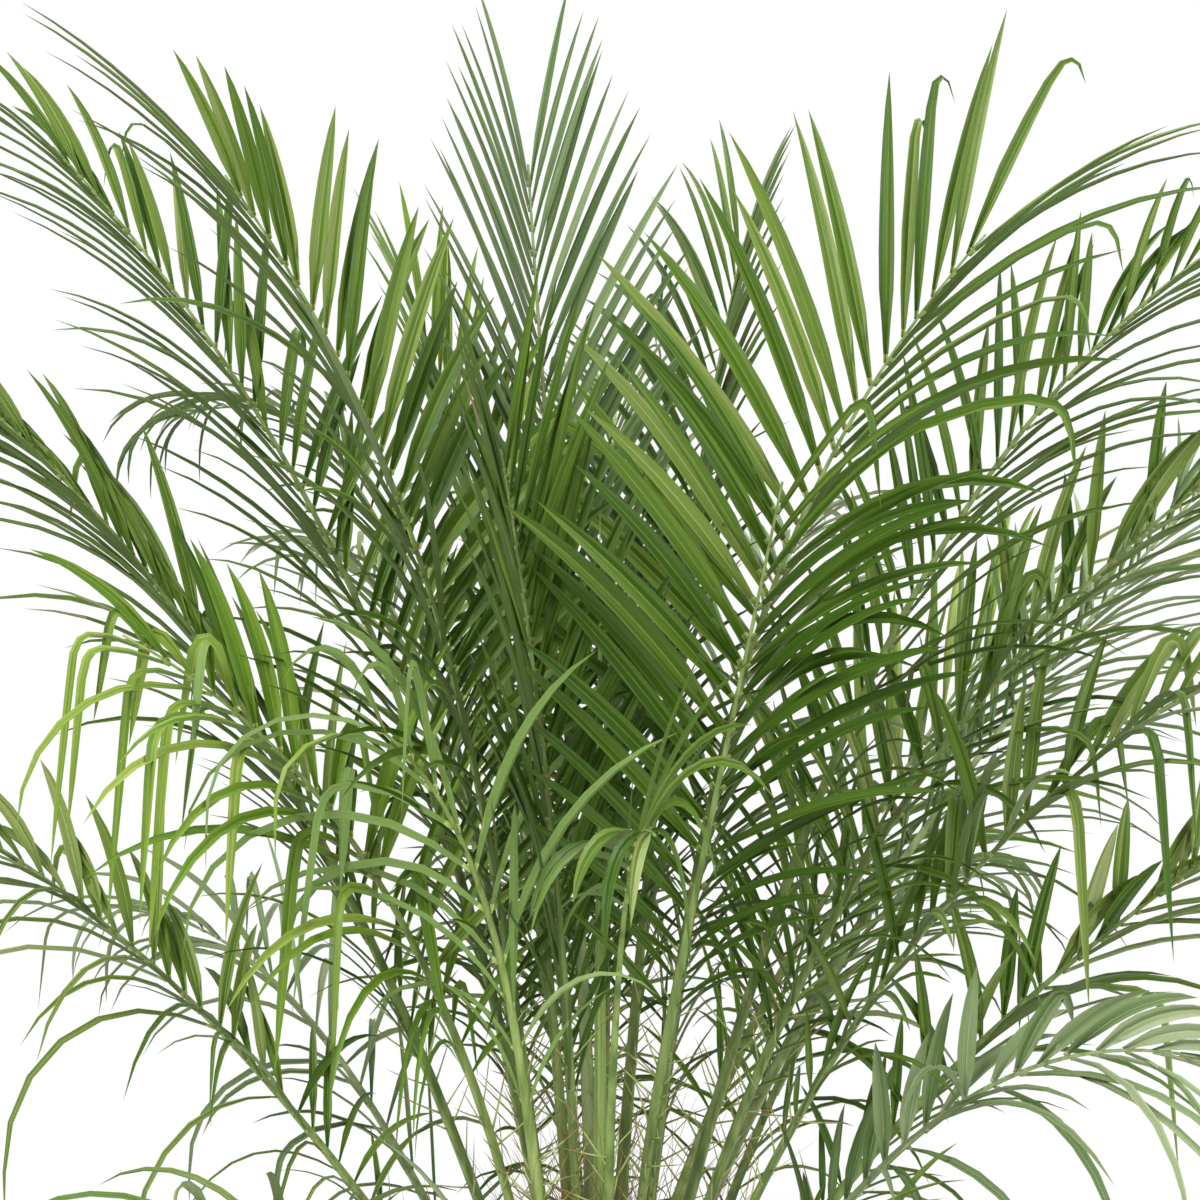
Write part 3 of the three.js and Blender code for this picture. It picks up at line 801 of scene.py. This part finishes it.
# The shells in four bands of colour, from brown at the foot to the stalk's green.
def makeSheaths():
    layout = shells.shape[:3]
    faces = [tubeQuads(*layout), tubeCaps(*layout, False), tubeCaps(*layout, True)]
    skins = [
        fibreMaterial("sheath_brown", "4a3824", "80644a", 90.0, (1.0, 1.0, 0.15), 0.85, 0.001),
        fibreMaterial("sheath_tan", "5e4e30", "8a7650", 90.0, (1.0, 1.0, 0.15), 0.8, 0.001),
        fibreMaterial("sheath_olive", "666038", "88825a", 90.0, (1.0, 1.0, 0.15), 0.7, 0.0008),
        fibreMaterial("sheath_green", "66703a", "848e56", 90.0, (1.0, 1.0, 0.15), 0.6, 0.0006)]
    height = np.linspace(0, 1, layout[1] - 1)
    band = np.digitize(height, sheath["bands"])
    shades = np.tile(np.repeat(band, layout[2]), layout[0])
    shades = np.concatenate([shades, np.zeros(layout[0]), np.full(layout[0], 3)])
    return makePiece("leaf_bases", shells.reshape(-1, 3), faces, skins, shades)


piece = makeSheaths()

# Brown fibres fray from both edges of every sheath. The inner the sheath, the longer and the
# straighter they are, up to tallest times the length and down to straight times the bend.
fibre = {
    "perEdge": 14,
    "length": 62,
    "tallest": 3.6,
    "straight": 0.4,
    "bend": 0.9,
    "sag": 0.5,
    "radius": 0.6,
    "rings": 6,
    "sides": 3,
}


# Fibres from places up both edges. Each heads up the edge, outward and a little astray, and
# its bend is a chance direction and some of straight down.
def makeFibres():
    edges = shells[:, 1:-3, [0, sheath["across"] - 1]]
    total = len(shells) * 2 * fibre["perEdge"]
    frondPlace = np.repeat(np.arange(len(shells)), 2 * fibre["perEdge"])
    edge = np.tile(np.repeat([0, 1], fibre["perEdge"]), len(shells))
    climb = rng.uniform(0, edges.shape[1] - 1.001, total)
    low = climb.astype(int)
    near, far = edges[frondPlace, low, edge], edges[frondPlace, low + 1, edge]
    start = mix(near, far, (climb - low)[:, None])
    upwards = unit(far - near)
    middle = shells[frondPlace, low, sheath["across"] // 2]
    outward = unit(start - middle)
    heading = upwards + outward * rng.uniform(0.1, 0.9, total)[:, None]
    heading = heading + rng.normal(0, 0.2, (total, 3))
    outer = frondPlace / (len(shells) - 1)
    bend = rng.normal(0, fibre["bend"], (total, 3)) - np.array([0, 0, fibre["sag"]])
    bend = bend * mix(fibre["straight"], 1, outer)[:, None]
    length = fibre["length"] * mix(fibre["tallest"], 1, outer) * rng.uniform(0.4, 1.4, total)
    radius = fibre["radius"] * rng.uniform(0.7, 1.3, total)
    layout = (fibre["rings"], fibre["sides"])
    points = hairPoints(start, unit(heading), bend, length, radius, *layout)
    skin = fibreMaterial("fibre_brown", "5a4228", "8a6c44", 60.0, (1.0, 1.0, 1.0), 0.85, 0.0003)
    return makePiece("base_fibres", points, hairFaces(total, *layout), [skin])


piece = makeFibres()


# 0 at the ground and 1 above knobFoot, so that the cut at the ground stays round.
def aboveGround(height):
    return smoothstep(height, 1, stem["knobFoot"])


# How far knobs stand out, from 0 to 1, where columns cross spirals: smoothstep of
# (cos(columns a) + cos(spirals a - 2 turn)) / 2, fading at the ground and at the crown.
def knobs(angle, height):
    fade = 1 - smoothstep(height, stem["crownFoot"] - stem["knobTop"], stem["crownFoot"])
    fade = aboveGround(height) * fade
    turn = 2 * np.pi * height / stem["scarRise"]
    columns = np.cos(stem["scarColumns"] * angle)
    lattice = (columns + np.cos(stem["scarSpirals"] * angle - 2 * turn)) / 2
    return fade * smoothstep(lattice, -0.35, 0.6)


# The stem turned from its radius. Each knob stands out of it and leans up, the bark between
# them is sunk by knobSink of their depth, and waves of sines roughen it all.
def makeStem():
    bareRows = np.linspace(0, stem["crownFoot"], stem["rows"])
    coneRows = np.linspace(stem["crownFoot"], stem["crownTop"], stem["coneRows"])[1:]
    height = np.concatenate([bareRows, coneRows])[:, None]
    angle = np.linspace(0, 2 * np.pi, stem["columns"], endpoint=False)[None, :]
    knob = knobs(angle, height)
    rough = np.sin(7 * angle + height / 9) * np.sin(height / 4.1)
    rough = 0.7 * rough + 0.35 * np.sin(29 * angle + 2 * np.sin(height / 6)) * np.sin(height / 2.3)
    depth = stem["knobDepth"] * (knob - stem["knobSink"] * aboveGround(height))
    radius = stemRadius(height) + depth + rough * aboveGround(height)
    rise = height + stem["knobLean"] * knob ** 2
    points = np.stack([radius * np.cos(angle), radius * np.sin(angle), rise], -1)
    layout = (1, *points.shape[:2])
    faces = [tubeQuads(*layout), tubeCaps(*layout, False), tubeCaps(*layout, True)]
    skins = [
        fibreMaterial("bark_brown", "382b20", "5e4c38", 110.0, (1.0, 1.0, 0.5), 0.9, 0.002),
        fibreMaterial("bark_knob", "50402f", "8a7558", 150.0, (1.0, 1.0, 1.0), 0.9, 0.0015)]
    middle = (knob[1:] + knob[:-1]) / 2
    shades = np.concatenate([(middle > stem["knobPale"]).ravel(), [0, 0]])
    return makePiece("stem_bark", points.reshape(-1, 3), faces, skins, shades)


piece = makeStem()
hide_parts("trunk")

# Gap is between the stem's tip and the spear's foot, and wind turns the pleats, in radians.
spear = {
    "radius": 6.5,
    "tipRadius": 0.05,
    "taper": 0.8,
    "gap": 0.3,
    "length": 760,
    "pleats": 7,
    "depth": 0.2,
    "wind": 3,
    "rows": 60,
    "columns": 42,
}


# The shut leaf: radius (1 - climb)^taper (1 + depth cos(pleats a + wind climb)) + tipRadius.
def makeSpear():
    climb = np.linspace(0, 1, spear["rows"])[:, None]
    angle = np.linspace(0, 2 * np.pi, spear["columns"], endpoint=False)[None, :]
    pleat = 1 + spear["depth"] * np.cos(spear["pleats"] * angle + spear["wind"] * climb)
    radius = spear["radius"] * (1 - climb) ** spear["taper"] * pleat + spear["tipRadius"]
    height = stem["crownTop"] + spear["gap"] + spear["length"] * climb
    points = np.stack([radius * np.cos(angle), radius * np.sin(angle), height + 0 * angle], -1)
    layout = (1, *points.shape[:2])
    faces = [tubeQuads(*layout), tubeCaps(*layout, False), tubeCaps(*layout, True)]
    skin = fibreMaterial("spear_green", "6f8a3c", "93a763", 90.0, (1.0, 1.0, 0.1), 0.5, 0.0004)
    return makePiece("spear_pleated", points.reshape(-1, 3), faces, [skin])


piece = makeSpear()
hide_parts("spear_leaf")

# The plain floor, the lamps and the camera, in metres and watts.
studio = {
    "floorRadius": 2.3,
    "floorSides": 96,
    "cameraDistance": 3.0,
    "cameraHeight": 1.02,
    "lens": 100,
    "skyLight": 1.0,
}
lamps = [
    # name, place, aim, size, power
    ("key_light", (-2.2, -2.6, 3.2), (0, 0, 1.0), 2.2, 172),
    ("fill_light", (2.6, -2.2, 1.6), (0, 0, 0.9), 2.4, 84),
    ("top_light", (0.3, 0.8, 3.6), (0, 0, 1.0), 2.6, 88),
]


# A round plate of one flat face, which is no piece of the plant.
def makeFloor():
    angle = np.linspace(0, 2 * np.pi, studio["floorSides"], endpoint=False)
    rim = np.stack([np.cos(angle), np.sin(angle), 0 * angle], 1) * studio["floorRadius"]
    mesh = bpy.data.meshes.new("floor")
    mesh.from_pydata(rim.tolist(), [], [list(range(studio["floorSides"]))])
    floor = bpy.data.objects.new("floor", mesh)
    bpy.context.scene.collection.objects.link(floor)
    plaster = fibreMaterial("floor_pale", "d2d2ce", "dadad7", 3.0, (1.0, 1.0, 1.0), 0.7, 0.0002)
    mesh.materials.append(plaster)


# A round soft lamp that faces its aim.
def addLamp(name, place, aim, size, power):
    lamp = bpy.data.lights.new(name, "AREA")
    lamp.shape = "DISK"
    lamp.size = size
    lamp.energy = power
    box = bpy.data.objects.new(name, lamp)
    box.location = place
    box.rotation_euler = (Vector(aim) - Vector(place)).to_track_quat("-Z", "Y").to_euler()
    bpy.context.scene.collection.objects.link(box)


# The camera looks level along +Y from in front of the stem.
def makeCamera():
    lens = bpy.data.cameras.new("camera")
    lens.lens = studio["lens"]
    camera = bpy.data.objects.new("camera", lens)
    camera.location = (0, -studio["cameraDistance"], studio["cameraHeight"])
    camera.rotation_euler = (np.pi / 2, 0, 0)
    bpy.context.scene.collection.objects.link(camera)
    bpy.context.scene.camera = camera


# A plain white sky, and colours shown as they are.
def makeSky():
    sky = bpy.data.worlds.new("studio")
    sky.use_nodes = True
    background = sky.node_tree.nodes["Background"]
    background.inputs["Color"].default_value = (1, 1, 1, 1)
    background.inputs["Strength"].default_value = studio["skyLight"]
    bpy.context.scene.world = sky
    bpy.context.scene.view_settings.view_transform = "Standard"


makeFloor()
for lamp in lamps:
    addLamp(*lamp)
makeCamera()
makeSky()
print("floor, lamps and camera ready")
